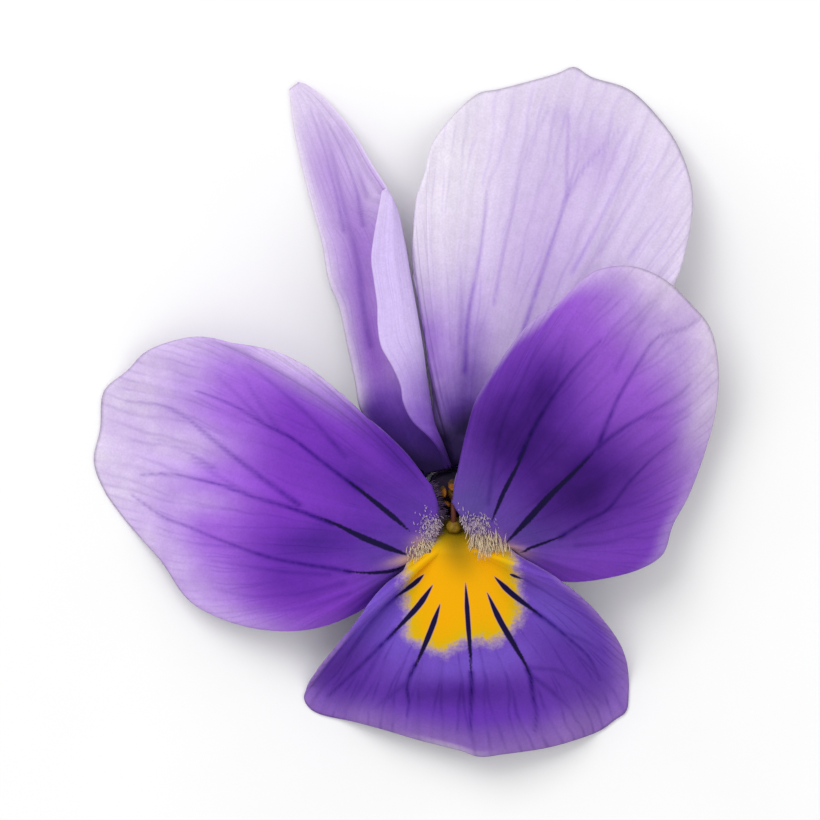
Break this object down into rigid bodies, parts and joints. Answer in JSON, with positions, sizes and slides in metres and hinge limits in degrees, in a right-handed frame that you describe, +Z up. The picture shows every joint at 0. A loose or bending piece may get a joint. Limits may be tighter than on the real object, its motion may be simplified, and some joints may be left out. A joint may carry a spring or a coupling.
{
  "type": "picked johnny jump up flower",
  "caption": "Picked johnny jump up flower lying face up: spreading petals round a yellow throat, with sepals, a spur and a short snapped stalk underneath.",
  "frame": {"origin": "middle of the whole flower on the surface that it lies on", "axes": "+Z up from the surface through the flower's face, +Y towards the two upper petals, +X towards the right petal as seen from above"},
  "size_m": [0.0251, 0.0275, 0.0055],
  "materials": {
    "petal_back_left": "soft matte petal, lilac with a dark violet base",
    "petal_back_right": "soft matte petal, pale lavender with a dark violet base",
    "petal_left": "velvety matte petal, violet with pale rim and dark guide lines",
    "petal_right": "velvety matte petal, violet with pale rim and dark guide lines",
    "petal_lower": "velvety matte petal, blue violet with a yellow blotch and dark guide lines",
    "sepal": "matte green leaf",
    "stamen": "matte orange with pale pollen sacs",
    "pistil": "soft satin green",
    "stalk": "soft satin green"
  },
  "bodies": {
    "root": {"petal_back_left": "petal_back_left", "petal_back_right": "petal_back_right", "petal_left": "petal_left", "petal_right": "petal_right", "petal_lower": "petal_lower", "sepal_top": "sepal", "sepal_left": "sepal", "sepal_lower_left": "sepal", "sepal_lower_right": "sepal", "sepal_right": "sepal", "stamen_1": "stamen", "stamen_2": "stamen", "stamen_3": "stamen", "stamen_4": "stamen", "stamen_5": "stamen", "pistil": "pistil", "flower_stalk": "stalk"}
  },
  "joints": []
}
